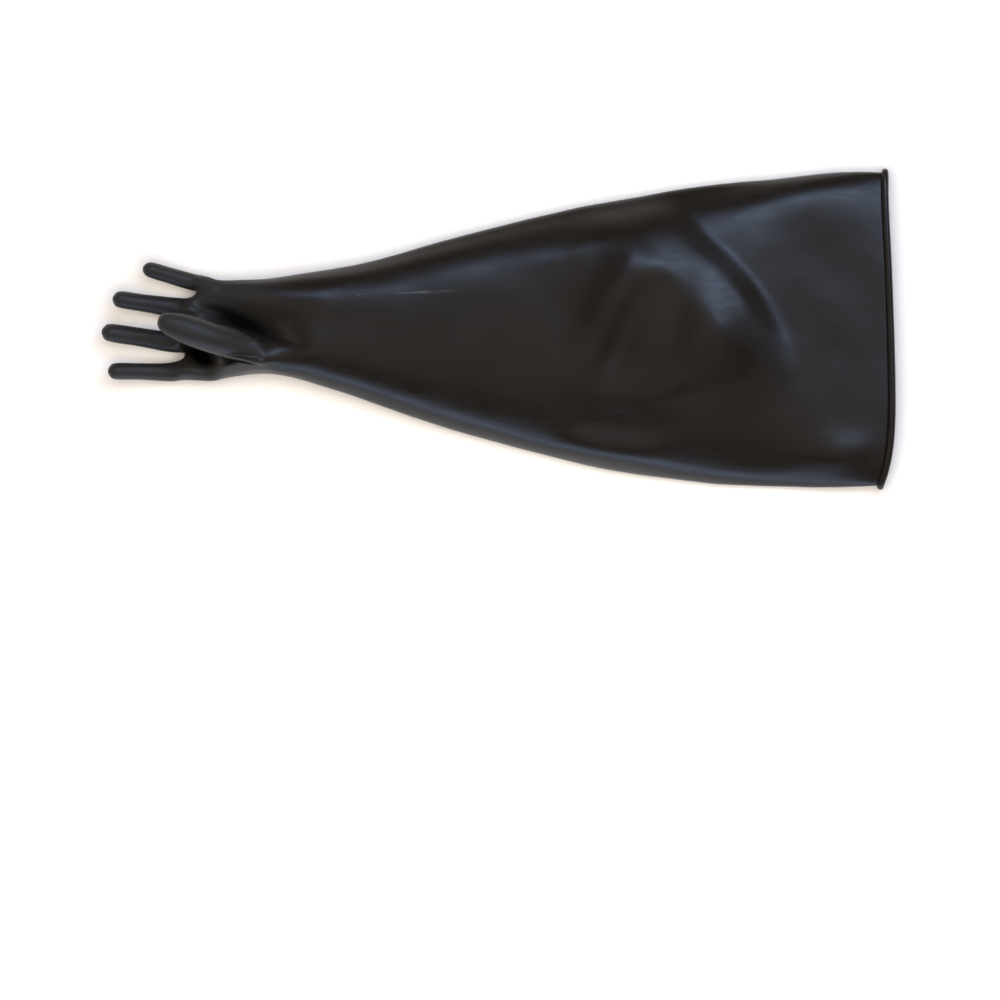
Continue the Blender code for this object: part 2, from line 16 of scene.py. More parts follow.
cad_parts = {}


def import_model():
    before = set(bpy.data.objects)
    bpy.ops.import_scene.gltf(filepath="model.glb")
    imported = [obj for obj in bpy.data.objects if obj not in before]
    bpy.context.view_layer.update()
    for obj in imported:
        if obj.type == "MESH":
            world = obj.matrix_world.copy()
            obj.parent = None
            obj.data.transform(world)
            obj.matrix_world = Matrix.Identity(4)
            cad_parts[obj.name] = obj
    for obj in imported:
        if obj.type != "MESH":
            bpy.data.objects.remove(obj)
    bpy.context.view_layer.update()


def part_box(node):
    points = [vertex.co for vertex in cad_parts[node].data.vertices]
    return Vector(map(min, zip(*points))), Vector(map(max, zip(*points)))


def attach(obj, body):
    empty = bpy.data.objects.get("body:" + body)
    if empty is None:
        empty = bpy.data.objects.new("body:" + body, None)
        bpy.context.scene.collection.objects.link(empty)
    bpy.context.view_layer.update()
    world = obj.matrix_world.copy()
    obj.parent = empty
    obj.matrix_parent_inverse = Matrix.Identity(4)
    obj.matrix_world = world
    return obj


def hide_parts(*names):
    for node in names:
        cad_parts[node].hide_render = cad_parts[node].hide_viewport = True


# Film and bead
WALL = 0.0010
BEAD_DIAMETER = 0.0072
BEAD_OUTSET = 0.0011  # how far the roll's middle lies outside the film's middle
BEAD_GRIP = 0.0034  # how far the film's edge reaches into the roll
GAP = 0.0003  # between the film and the roll, all round

# Sleeve, from the wrist to the film's edge at the mouth
SLEEVE_LENGTH = 0.6300
CUFF_WIDTH = 0.3180
SLEEVE_CROWN = 0.0600  # measure of the puffed forearm's height
FOLD_SIDE = 0.0180  # height at which the forearm is widest

# Mouth, seen from above: how far its line falls back towards each side
MOUTH_LITTLE_SIDE = 0.0070
MOUTH_INDEX_SIDE = 0.0116
MOUTH_FURTHEST = -0.42  # share of the half width where it lies furthest out
MOUTH_LEVEL = 0.80  # share of the half width beyond which the little finger's side is straight
MOUTH_BENDS = 1.5, 3  # powers of its fall towards the little finger's and the index side
MOUTH_START = 0.9  # share of SLEEVE_LENGTH from which the sleeve takes the mouth's shape

# Palm, from the wrist to the finger roots
PALM_LENGTH = 0.0845
PALM_WIDTH = 0.1060
PALM_CROWN = 0.0400
PALM_CURVE = 2.0, 0.5  # the two powers of the palm's curve, as for an ellipse

# Fingers
FINGER_WIDTH = 0.0180
ROOT_DEPTH = 0.0320  # of the hand at the middle finger's root
FINGER_LIFT = 0.0125  # middle line of a finger where it leaves the palm

# Thumb
THUMB_LENGTH = 0.0900
THUMB_WIDTH = 0.0300
THUMB_RISE = 0.0045  # middle of the thumb's root above the palm's crown

# One row for each section of the sleeve. along is a share of SLEEVE_LENGTH, width and centre of
# CUFF_WIDTH, crown of SLEEVE_CROWN and side of FOLD_SIDE. round and fall are the two powers of the
# top's curve: 2 and 0.5 for an ellipse, more for a flatter top with straighter sides. lift is the
# underside's height, a share of FOLD_SIDE.
SLEEVE_ROWS = (
    # along, width, centre, crown, side, round, fall, lift
    (0.000, 0.303, 0.010, 0.78, 1.20, 2.1, 0.50, 0.20),
    (0.055, 0.341, 0.008, 0.80, 1.15, 2.4, 0.58, 0.13),
    (0.150, 0.433, -0.006, 0.80, 1.00, 3.0, 0.72, 0.00),
    (0.280, 0.592, -0.014, 0.81, 0.90, 3.5, 0.80, 0.00),
    (0.400, 0.722, -0.017, 0.82, 0.82, 4.0, 0.85, 0.00),
    (0.490, 0.808, -0.019, 0.82, 0.78, 4.0, 0.88, 0.00),
    (0.550, 0.855, -0.020, 0.82, 0.76, 4.0, 0.88, 0.00),
    (0.605, 0.891, -0.019, 0.82, 0.74, 4.0, 0.88, 0.00),
    (0.660, 0.925, -0.016, 0.81, 0.72, 4.0, 0.88, 0.00),
    (0.715, 0.950, -0.015, 0.79, 0.70, 4.0, 0.88, 0.00),
    (0.770, 0.968, -0.012, 0.71, 0.70, 7.0, 0.88, 0.00),
    (0.840, 0.986, -0.008, 0.60, 0.72, 12.0, 0.85, 0.00),
    (0.920, 1.002, 0.000, 0.52, 0.76, 14.0, 0.78, 0.00),
    (1.000, 0.996, 0.000, 0.44, 0.84, 6.0, 0.60, 0.00),
)

# On the index side the forearm falls more evenly to a lower edge. INDEX_CURVE is the two powers of
# its curve there, and INDEX_SIDE the edge's height, a share of the other side's. It sets in between
# the two shares of SLEEVE_LENGTH in INDEX_FROM and ends between those in INDEX_UNTIL.
INDEX_CURVE = 2.7, 0.62
INDEX_SIDE = 0.50
INDEX_FROM = 0.10, 0.40
INDEX_UNTIL = 0.80, 0.96

# One row for each section of the palm, from the finger roots to the wrist. along is a share of
# PALM_LENGTH from the wrist, width and centre of PALM_WIDTH, crown of PALM_CROWN, side and lift of
# FOLD_SIDE. hand is how far the columns of points lie as at the finger roots.
PALM_ROWS = (
    # along, width, centre, crown, side, lift, hand
    (0.71, 0.995, 0.004, 0.88, 0.98, 0.04, 0.90),
    (0.58, 0.950, -0.002, 0.96, 1.05, 0.06, 0.80),
    (0.30, 0.914, 0.020, 1.10, 1.15, 0.14, 0.60),
)

# One row for each rounded swelling or hollow of the palm side: its middle along from the wrist and
# across from the hand's middle line, how far it reaches each way, and its height, as shares of
# PALM_LENGTH, PALM_WIDTH, both again, and PALM_CROWN.
PALM_SWELLINGS = (
    # along, across, reach_along, reach_across, height
    (0.10, -0.25, 0.50, 0.17, 0.14),
    (0.25, 0.10, 0.75, 0.15, -0.20),
)

# One row for each finger, index to little. root is where it leaves the palm, behind the line of
# the roots, and across is its middle line there from the hand's, both shares of PALM_WIDTH. heel
# is how far its root's middle lies to the little finger's side of that line, base its root's
# width, width its own and length its length, all shares of FINGER_WIDTH. deep is the hand's depth
# at its root, a share of ROOT_DEPTH. splay turns it to the little finger's side and curl bends it
# up, in degrees.
FINGERS = (
    # root, across, heel, base, width, length, deep, splay, curl
    (0.000, -0.405, 0.20, 1.34, 0.96, 4.45, 0.88, 0.5, 24.0),
    (0.000, -0.138, 0.20, 1.44, 1.04, 4.85, 1.02, 8.5, 22.0),
    (0.045, 0.186, 0.00, 1.44, 0.96, 4.50, 0.98, 8.5, 24.0),
    (0.115, 0.438, 0.00, 1.02, 0.88, 3.26, 0.74, 16.5, 26.0),
)
# Rings of a finger up to its round end: share of its length, and how far its base's width is kept.
FINGER_RINGS = ((0.17, 0.42), (0.52, 0.04))
# Rings of a round end: distance back from the tip, and width, as shares of the radius there.
TIP_RINGS = ((1.25, 0.98), (0.36, 0.66))

# One row for each ring of the thumb. along is a share of THUMB_LENGTH from its root, width of
# THUMB_WIDTH, depth of the ring's own width. turn is to the little finger's side and pitch up.
THUMB_ROWS = (
    # along, width, depth, turn, pitch
    (0.00, 0.98, 0.80, 16.5, 36.0),
    (0.30, 1.02, 0.84, 17.5, 24.0),
    (0.58, 1.00, 0.88, 18.0, 16.0),
    (0.81, 0.84, 0.90, 18.0, 9.0),
)
THUMB_ALONG = 0.34  # middle of the thumb's root from the wrist, a share of PALM_LENGTH
THUMB_ACROSS = -0.165  # and from the hand's middle line, a share of PALM_WIDTH
THUMB_FOOT = (2, 5)  # columns of the palm between which the thumb grows out of it
THUMB_FROM = 2  # first of the three rows of points that its foot spans, from the finger roots on
THUMB_SHARE = 0.05, 0.6  # shares of the thumb in a point between which the palm's hollows leave it

# One row for each fold of the sleeve's upper side. Its line runs through points along the sleeve, as
# shares of SLEEVE_LENGTH, and across it, of half CUFF_WIDTH. height and width are shares of
# SLEEVE_CROWN. Seen from its start, a step or shoulder has its high side on the right.
FOLDS = (
    # kind, height, width, points
    ("step", 0.050, 0.30, ((0.360, 0.52), (0.480, 0.62), (0.533, 0.67), (0.613, 0.74), (0.720, 0.80))),
    ("shoulder", 0.130, 0.30, (
        (0.500, 1.30), (0.570, 0.98), (0.635, 0.74), (0.678, 0.56), (0.722, 0.42), (0.762, 0.24),
        (0.794, 0.03), (0.822, -0.22), (0.836, -0.56),
    )),
    ("step", 0.110, 0.26, ((1.160, -0.80), (1.030, -0.84), (0.918, -0.88), (0.800, -0.92))),
    ("step", 0.130, 0.28, ((0.440, -0.62), (0.510, -0.68), (0.580, -0.72), (0.680, -0.74))),
    ("step", 0.090, 0.30, ((0.632, 0.48), (0.604, 0.36), (0.572, 0.14), (0.540, -0.14), (0.490, -0.60))),
    ("step", 0.050, 0.28, ((0.650, 0.46), (0.642, 0.30), (0.628, 0.06), (0.606, -0.24), (0.580, -0.70))),
)
# The slope across a shoulder, from its low side to its high one, and where it has each: places in
# its widths from its line, and slopes of its height a width.
SHOULDER = (
    (-0.95, 0.0), (-0.7, 1.0), (0.1, 1.0), (0.5, 0.48), (1.9, 0.44), (2.6, 0.0),
    (3.3, -0.42), (6.9, -0.42), (8.1, 0.0),
)
SHOULDER_STEPS = 400  # steps in which its slope is added up
FOLDS_START, FOLDS_FULL = 0.30, 0.42  # shares of SLEEVE_LENGTH between which the folds set in
FOLD_EDGES = 0.6  # power of a fold's fading towards the sleeve's edges
FOLD_ENDS = 0.35  # share of a fold's or hollow's line over which it sets in at each end
FOLDED_SLOPES = 0.1, 0.6  # upward share of the surface's normal between which it takes the folds
FOLD_POINTS = 8  # stretches of such a line between two of its points

# One row for each hollow of the palm side, as for the folds: points along from the wrist as shares of
# PALM_LENGTH and across from the hand's middle line of PALM_WIDTH, depth and width of PALM_CROWN. The
# last row, with a depth below nothing, is a web that joins the thumb to the wrist.
HOLLOWS = (
    # depth, width, points
    (0.40, 0.36, ((1.20, 0.32), (0.70, 0.19), (0.28, 0.06), (-0.14, -0.08), (-0.60, -0.22))),
    (0.74, 0.20, ((1.10, -0.08), (0.92, -0.17), (0.78, -0.25), (0.54, -0.38))),
    (-0.26, 0.34, ((0.74, -0.26), (0.48, -0.31), (0.20, -0.32), (-0.16, -0.30))),
)
HOLLOW_BEND = 1.3  # power of a hollow's fading away from its line, less for a sharper bottom

FINGER_SIDES = 8  # points round a finger
FINGER_COLUMNS = 3  # points across the top of each finger's root, and as many across its underside
COLUMNS = FINGER_COLUMNS * len(FINGERS)
OUTERMOST_COLUMN = 0.93  # share of the palm's half width that no column of it passes
EVEN_COLUMNS = 0.2  # how far the sleeve's columns are evenly spaced and not as on a circle
HAND_FLAT, SLEEVE_FLAT = 0.25, 0.85  # share of the half width over which the underside is level
FLAT_REACHED = 0.30  # share of SLEEVE_LENGTH from which the sleeve's share holds
FIT_ROUNDS = 8  # times that the cage is moved so that its smooth surface has the stated sizes
FIT_STEP = 0.8  # share of what is still missing that each of those rounds makes up
SMOOTHING = 3  # times that each face of the cage is halved both ways
BEAD_POINTS = 26  # points round the roll, from one lip of its slot to the other
SHARPEST = 1.35  # most that the wall's depth at a sharp turn is of WALL

# Slight waves of the film: length and height of each
RIPPLES = ((0.055, 0.0007), (0.024, 0.00025))
RIPPLE_SEED = Vector((3.1, 7.4, 1.9))
RIPPLE_CLEAR = 0.002  # height above the surface from which they set in

# Latex
LATEX_DARK = (0.0062, 0.0042, 0.0028, 1.0)
LATEX_LIGHT = (0.0078, 0.0056, 0.0040, 1.0)
HAND_LATEX = (0.0150, 0.0145, 0.0138, 1.0)  # the hand is greyer and duller than the sleeve
LATEX_IOR = 1.52
SPECULAR = 0.5  # the shader's level for a full reflection
ROUGHNESS = 0.35
STREAK_ROUGHNESS = 0.03  # more and less of it in the streaks
DRIFT_ROUGHNESS = 0.025  # and from one wide patch to the next
HAND_ROUGHNESS = 0.14  # more of it on the hand than on the sleeve
HAND_FROM = -0.27, -0.20  # places along X between which the hand's latex gives way to the sleeve's
GRAIN_DEPTH = 0.00002
WRINKLE_DEPTH = 0.00005

# Patterns of noise in the latex: stretch for each axis, size, detail, roughness and offset
BLOTCHES = (1, 1, 1), 14.0, 3.0, 0.5, (0, 0, 0)
STREAKS = (0.10, 1.0, 1.0), 260.0, 4.0, 0.5, (0, 0, 0)
DRIFT = (1, 1, 1), 30.0, 3.0, 0.5, (3, 1, 4)
GRAIN = (1, 1, 1), 700.0, 2.0, 0.5, (0, 0, 0)
WRINKLES = (0.16, 1.0, 1.0), 120.0, 3.0, 0.5, (5, 2, 8)
NOISE_MIDDLE = 0.3, 0.7  # values of the noise that are spread over a pattern's whole range

# Scuffs: middle and reach of each patch, stretch and size of its marks, and the values of the noise
# between which they set in
POWDER = (0.30, 0.33, 0.37, 1.0)
POWDER_SHARE = 0.17
SCUFF_ROUGHNESS = 0.18  # more of it than round about
SCUFF_NOISE = 6.0, 0.65, (2, 7, 1)  # detail, roughness and offset
SCUFFS = (
    ((-0.150, 0.037, 0.05), (0.040, 0.010, 0.05), (0.14, 1.0, 1.0), 420.0, 0.56, 0.70),
    ((-0.080, 0.038, 0.05), (0.045, 0.003, 0.05), (0.04, 1.0, 1.0), 700.0, 0.50, 0.62),
)

# Painted shade where the film folds in on itself, a darker tone and a weaker reflection: middle and
# reach of each patch, and its turn in degrees
PAINTED_CREASE_SHADE = (0.0016, 0.0012, 0.0010, 1.0)
CREASE_ROUGHNESS = 0.25  # more of it there than round about
CREASE_SHADE_DULLING = 0.44  # less there of SPECULAR, so that the reflection is painted darker too
CREASE_SHADE_PATCHES = (
    ((-0.248, 0.001, 0.012), (0.066, 0.017, 0.036), -25.0),
    ((-0.301, -0.029, 0.006), (0.025, 0.013, 0.030), -36.0),
)
PATCH_EDGE = 0.35, 1.0  # shares of a patch's reach between which it fades out

# Picture
PICTURE_WIDTH = 1.0113
PICTURE_CENTRE = (0.0014, -0.1724)
OUTLINE_HEIGHT = 0.018  # height at which the outline is as wide as in the photograph
CAMERA_HEIGHT = 12.0  # above the outline's
SENSOR_WIDTH = 36.0
CLIP_END = 60.0

# Stage
FLOOR_SIZE = 40.0
FLOOR_BELOW = 0.0003  # just under the lowest point of the bead
FLOOR_COLOUR = (0.90, 0.90, 0.90, 1.0)
FLOOR_ROUGHNESS = 0.9
FLOOR_SPECULAR = 0.1
ROOM_COLOUR = (0.11, 0.075, 0.052, 1.0)
BACKDROP_COLOUR = (0.86, 0.87, 0.88, 1.0)
LIGHTS = (
    # name, place, size, colour, radiance, target, seen in reflections
    ("window", (0.85, 1.25, 2.5), (3.1, 0.8), (0.50, 0.68, 1.0), 5.0, (0.1, 0, 0), True),
    ("low_window", (0.2, -2.3, 0.64), (3.0, 0.5), (0.52, 0.70, 1.0), 4.2, (0.1, 0, 0), True),
    ("left_wall", (-2.6, 0.0, 1.5), (2.0, 1.6), (0.95, 1.0, 0.98), 0.5, (0, 0, 0), True),
    ("ceiling", (0.0, -0.3, 3.1), (3.4, 2.8), (0.94, 1.0, 0.95), 0.24, (0, 0, 0), True),
    ("top", (0.0, -0.2, 3.0), (3.0, 3.0), (1.0, 0.90, 0.78), 3.9, (0, 0, 0), False),
)


def smoothstep(low, high, value):
    t = min(1.0, max(0.0, (value - low) / (high - low)))
    return t * t * (3 - 2 * t)


def between(rows, at, column):
    """A column's value at a place between the rows of a table, whose first column runs upwards."""
    for before, after in zip(rows, rows[1:]):
        if at <= after[0]:
            t = max(0.0, (at - before[0]) / (after[0] - before[0]))
            return before[column] + t * (after[column] - before[column])
    return rows[-1][column]


def upper_side(f, crown, side, power, fall):
    """Height of the top at a share f of the half width."""
    return side + (crown - side) * max(0.0, 1 - abs(f) ** power) ** fall


def underside(f, flat, low, side):
    """Height of the underside at a share f of the half width: level, then a quarter ellipse."""
    t = max(0.0, (abs(f) - flat) / (1 - flat))
    return low + (side - low) * (1 - math.sqrt(max(0.0, 1 - t * t)))


def sleeve_columns():
    """Lateral shares of the sleeve's columns, closer together towards the side folds."""
    shares = []
    for j in range(1, COLUMNS + 1):
        t = j / (COLUMNS + 1)
        shares.append(EVEN_COLUMNS * (2 * t - 1) - (1 - EVEN_COLUMNS) * math.cos(math.pi * t))
    return shares


def root_middle(finger):
    """Where the middle of a finger's root lies across the hand."""
    across, heel = finger[1], finger[2]
    return across * PALM_WIDTH + heel * FINGER_WIDTH


def hand_columns():
    """Lateral shares of the columns at the finger roots, as many for each finger."""
    shares = []
    for finger in FINGERS:
        half = finger[3] * FINGER_WIDTH / 2
        for k in range(1, FINGER_COLUMNS + 1):
            across = root_middle(finger) - half * math.cos(2 * math.pi * k / FINGER_SIDES)
            shares.append(across / (PALM_WIDTH / 2))
    return shares


def section(place, shares, top, bottom, index_side, little_side):
    """One ring of points: the index side, across the top, the little finger's side, and back below."""
    across_top = [place(f, top(f)) for f in shares]
    across_bottom = [place(f, bottom(f)) for f in reversed(shares)]
    return [place(-1, index_side), *across_top, place(1, little_side), *across_bottom]


def mouth_fall(f):
    """How far the mouth's line falls back at a share f of the half width."""
    if f > MOUTH_FURTHEST:
        t = (f - MOUTH_FURTHEST) / (MOUTH_LEVEL - MOUTH_FURTHEST)
        return MOUTH_LITTLE_SIDE * min(1.0, t) ** MOUTH_BENDS[0]
    return MOUTH_INDEX_SIDE * ((MOUTH_FURTHEST - f) / (1 + MOUTH_FURTHEST)) ** MOUTH_BENDS[1]


def swelling(x, y):
    """Height of the palm side's swellings and hollows at a place, from the wrist's middle."""
    total = 0.0
    for along, across, reach_along, reach_across, height in PALM_SWELLINGS:
        u = (-x / PALM_LENGTH - along) / reach_along
        v = (y / PALM_WIDTH - across) / reach_across
        total += height * math.exp(-u * u - v * v)
    return total * PALM_CROWN


def sleeve_ring(row):
    along, width, centre, crown, side, power, fall, lift = row
    half = width * CUFF_WIDTH / 2
    at_mouth = smoothstep(MOUTH_START, 1.0, along)
    bead_below_film = BEAD_OUTSET + BEAD_DIAMETER / 2 - WALL / 2 + GAP
    low = lift * FOLD_SIDE + at_mouth * bead_below_film
    widest = side * FOLD_SIDE
    flat = HAND_FLAT + (SLEEVE_FLAT - HAND_FLAT) * smoothstep(0.0, FLAT_REACHED, along)
    own = smoothstep(*INDEX_FROM, along) * (1 - smoothstep(*INDEX_UNTIL, along))
    index_power = power + own * (INDEX_CURVE[0] - power)
    index_fall = fall + own * (INDEX_CURVE[1] - fall)
    index_widest = widest * (1 - own * (1 - INDEX_SIDE))

    def place(f, height):
        x = along * SLEEVE_LENGTH - at_mouth * mouth_fall(f)
        return Vector((x, centre * CUFF_WIDTH + half * f, height))

    def top(f):
        relief = swelling(along * SLEEVE_LENGTH, centre * CUFF_WIDTH + half * f)
        if f < 0:
            return upper_side(f, crown * SLEEVE_CROWN, index_widest, index_power, index_fall) + relief
        return upper_side(f, crown * SLEEVE_CROWN, widest, power, fall) + relief

    def bottom(f):
        return underside(f, flat, low, index_widest if f < 0 else widest)

    return section(place, sleeve_columns(), top, bottom, index_widest, widest)


def palm_ring(row):
    along, width, centre, crown, side, lift, hand = row
    half = width * PALM_WIDTH / 2
    widest = side * FOLD_SIDE

    def place(f, height):
        return Vector((-along * PALM_LENGTH, centre * PALM_WIDTH + half * f, height))

    def top(f):
        relief = swelling(-along * PALM_LENGTH, centre * PALM_WIDTH + half * f)
        return upper_side(f, crown * PALM_CROWN, widest, *PALM_CURVE) + relief

    def bottom(f):
        return underside(f, HAND_FLAT, lift * FOLD_SIDE, widest)

    shares = []
    for at_root, at_sleeve in zip(hand_columns(), sleeve_columns()):
        shares.append(min(OUTERMOST_COLUMN, hand * at_root + (1 - hand) * at_sleeve))
    return section(place, shares, top, bottom, widest, widest)


def tube_ring(centre, side, up, half_width, half_height, count):
    """Points round a tube, from the index side over the top and back below."""
    points = []
    for k in range(count):
        angle = math.pi - 2 * math.pi * k / count
        across = side * (half_width * math.cos(angle))
        points.append(centre + across + up * (half_height * math.sin(angle)))
    return points


def finger_rings(finger):
    """The rings of one finger, its root first, and its tip."""
    root, across, _heel, base, width, length, deep, splay, curl = finger
    reach = length * FINGER_WIDTH
    own, root_width = width * FINGER_WIDTH, base * FINGER_WIDTH
    heading, bend = math.radians(splay), math.radians(curl)
    forward = Vector((-math.cos(heading), math.sin(heading), 0))
    side = Vector((math.sin(heading), math.cos(heading), 0))
    x = -PALM_LENGTH + root * PALM_WIDTH
    start = Vector((x, across * PALM_WIDTH, FINGER_LIFT))

    def place(s):
        angle = bend * s / reach
        out, rise = math.sin(angle), 1 - math.cos(angle)
        return start + forward * (reach / bend * out) + Vector((0, 0, reach / bend * rise)), angle

    def ring_at(s, radius):
        centre, angle = place(s)
        up = Vector((0, 0, math.cos(angle))) - forward * math.sin(angle)
        return tube_ring(centre, side, up, radius, radius, FINGER_SIDES)

    depth = deep * ROOT_DEPTH
    middle = Vector((x, root_middle(finger), depth / 2))
    across_hand, upwards = Vector((0, 1, 0)), Vector((0, 0, 1))
    rings = [tube_ring(middle, across_hand, upwards, root_width / 2, depth / 2, FINGER_SIDES)]
    for share, kept in FINGER_RINGS:
        rings.append(ring_at(share * reach, (own + kept * (root_width - own)) / 2))
    for back, narrowed in TIP_RINGS:
        rings.append(ring_at(reach - back * own / 2, narrowed * own / 2))
    return rings, place(reach)[0]


def thumb_rings(count):
    """The thumb's rings above its foot in the palm, and its tip."""
    x, y = -THUMB_ALONG * PALM_LENGTH, THUMB_ACROSS * PALM_WIDTH
    centre = Vector((x, y, PALM_CROWN + THUMB_RISE))
    rings = []
    last = 0.0
    for along, width, depth, turn, pitch in THUMB_ROWS:
        heading, climb = math.radians(turn), math.radians(pitch)
        level = Vector((-math.cos(heading), math.sin(heading), 0))
        forward = level * math.cos(climb) + Vector((0, 0, math.sin(climb)))
        side = Vector((math.sin(heading), math.cos(heading), 0))
        up = Vector((0, 0, math.cos(climb))) - level * math.sin(climb)
        centre = centre + forward * ((along - last) * THUMB_LENGTH)
        radius = width * THUMB_WIDTH / 2
        rings.append(tube_ring(centre, side, up, radius, radius * depth, count))
        last = along
    tip = centre + forward * ((1 - last) * THUMB_LENGTH)
    back, narrowed = TIP_RINGS[-1]
    narrow = narrowed * radius
    rings.append(tube_ring(tip - forward * (back * radius), side, up, narrow, narrow * depth, count))
    return rings, tip


def join_rings(bm, first, second):
    for k, _ in enumerate(first):
        n = (k + 1) % len(first)
        bm.faces.new((first[k], first[n], second[n], second[k]))


def add_tube(bm, root, rings, tip):
    """Rings of new points from a root that is there, closed by faces round the tip's own point."""
    for points in rings:
        made = [bm.verts.new(p) for p in points]
        join_rings(bm, root, made)
        root = made
    point = bm.verts.new(tip)
    for k in range(0, len(root), 2):
        bm.faces.new((root[k], root[k + 1], root[(k + 2) % len(root)], point))


def root_row(bm, fingers):
    """The row of points at the finger roots: the hand's whole ring, and each finger's own."""
    own = [[bm.verts.new(p) for p in rings[0]] for rings, _ in fingers]
    half = FINGER_SIDES // 2
    top = [v for ring in own for v in ring[1:half]]
    bottom = [v for ring in reversed(own) for v in ring[half + 1:]]
    return [own[0][0], *top, own[-1][half], *bottom], own


def add_thumb(bm, front, middle, back):
    """Opens the palm between two of its columns and two rows, and grows the thumb out of it."""
    first, last = THUMB_FOOT
    foot = [middle[first], *back[first:last + 1], middle[last]]
    foot += reversed(front[first:last + 1])
    bmesh.ops.delete(bm, geom=middle[first + 1:last], context="VERTS")
    rings, tip = thumb_rings(len(foot))
    before = len(bm.verts)
    add_tube(bm, foot, rings, tip)
    thumb = bm.verts.layers.float["thumb"]
    for v in list(bm.verts)[before:]:
        v[thumb] = 1.0


def cage():
    """The glove's coarse outer surface, open at the mouth."""
    bm = bmesh.new()
    bm.verts.layers.float.new("thumb")
    fingers = [finger_rings(f) for f in FINGERS]
    roots, own = root_row(bm, fingers)
    rows = [roots]
    for row in PALM_ROWS:
        rows.append([bm.verts.new(p) for p in palm_ring(row)])
    for row in SLEEVE_ROWS:
        rows.append([bm.verts.new(p) for p in sleeve_ring(row)])
    for first, second in zip(rows, rows[1:]):
        join_rings(bm, first, second)
    for (rings, tip), root in zip(fingers, own):
        add_tube(bm, root, rings[1:], tip)
    half = FINGER_SIDES // 2
    for left, right in zip(own, own[1:]):
        bm.faces.new((left[half - 1], right[1], right[0], left[half]))
        bm.faces.new((left[half], right[0], right[-1], left[half + 1]))
    add_thumb(bm, *rows[THUMB_FROM:THUMB_FROM + 3])
    bmesh.ops.recalc_face_normals(bm, faces=bm.faces)
    return bm


def smooth_place(v):
    """Where a point of the cage comes to lie on its Catmull-Clark surface."""
    if v.is_boundary:
        ends = [e.other_vert(v).co for e in v.link_edges if e.is_boundary]
        return (v.co * 4 + ends[0] + ends[1]) / 6
    near = [e.other_vert(v) for e in v.link_edges]
    n = len(near)
    total = v.co * n * n
    for other in near:
        total = total + other.co * 4
    for face in v.link_faces:
        for corner in face.verts:
            if corner is not v and corner not in near:
                total = total + corner.co
    return total / (n * (n + 5))


def fit_cage(bm):
    """Moves the cage's points until its smooth surface passes through where they were first put."""
    wanted = {v: v.co.copy() for v in bm.verts}
    for _ in range(FIT_ROUNDS):
        moves = {v: wanted[v] - smooth_place(v) for v in bm.verts}
        for v, move in moves.items():
            v.co += move * FIT_STEP


def smoothed(bm):
    """The cage's smooth surface, as a new bmesh."""
    mesh = bpy.data.meshes.new("cage")
    bm.to_mesh(mesh)
    bm.free()
    helper = bpy.data.objects.new("cage", mesh)
    bpy.context.scene.collection.objects.link(helper)
    smooth = helper.modifiers.new("smooth", "SUBSURF")
    smooth.levels = smooth.render_levels = SMOOTHING
    evaluated = helper.evaluated_get(bpy.context.evaluated_depsgraph_get())
    fine = bmesh.new()
    fine.from_mesh(evaluated.to_mesh())
    evaluated.to_mesh_clear()
    bpy.data.objects.remove(helper)
    bpy.data.meshes.remove(mesh)
    return fine


def curve(points, scale):
    """A Catmull-Rom line through points, each scaled, as an array."""
    places = [np.array(p) * scale for p in points]
    places = [2 * places[0] - places[1], *places, 2 * places[-1] - places[-2]]
    line = []
    for a, b, c, d in zip(places, places[1:], places[2:], places[3:]):
        for k in range(FOLD_POINTS):
            t = k / FOLD_POINTS
            near = (2 * b) + (c - a) * t + (2 * a - 5 * b + 4 * c - d) * t**2
            line.append((near + (3 * b - a - 3 * c + d) * t**3) / 2)
    return np.array([*line, places[-2]])


def nearest(line, places):
    """Share along a line, and distance from it, which is less than nothing on its left."""
    best = np.full(len(places), math.inf)
    share = np.zeros(len(places))
    side = np.ones(len(places))
    for k, (a, b) in enumerate(zip(line, line[1:])):
        step = b - a
        t = np.clip((places - a) @ step / (step @ step), 0, 1)
        away = places - a - t[:, None] * step
        distance = np.hypot(away[:, 0], away[:, 1])
        closer = distance < best
        best = np.where(closer, distance, best)
        share = np.where(closer, (k + t) / (len(line) - 1), share)
        left = step[0] * away[:, 1] - step[1] * away[:, 0] > 0
        side = np.where(closer, np.where(left, -1, 1), side)
    return share, best * side


def fading(share):
    """How far a fold has set in at a share along its line."""
    t = np.clip(np.minimum(share, 1 - share) / FOLD_ENDS, 0, 1)
    return t * t * (3 - 2 * t)


def shoulder(away):
    """Height of a shoulder's section, which is its slope added up."""
    marks, slopes = zip(*SHOULDER)
    grid = np.linspace(marks[0], marks[-1], SHOULDER_STEPS)
    steps = np.interp(grid, marks, slopes) * (grid[1] - grid[0])
    return np.interp(away, grid, np.cumsum(steps))


def fold_heights(places):
    """How far the folds move the sleeve's upper side at each place."""
    total = np.zeros(len(places))
    for kind, height, width, points in FOLDS:
        share, distance = nearest(curve(points, (SLEEVE_LENGTH, CUFF_WIDTH / 2)), places)
        away = distance / (width * SLEEVE_CROWN)
        profile = shoulder(away) if kind == "shoulder" else away * np.exp((1 - away**2) / 2)
        total += height * profile * fading(share)
    return total * SLEEVE_CROWN


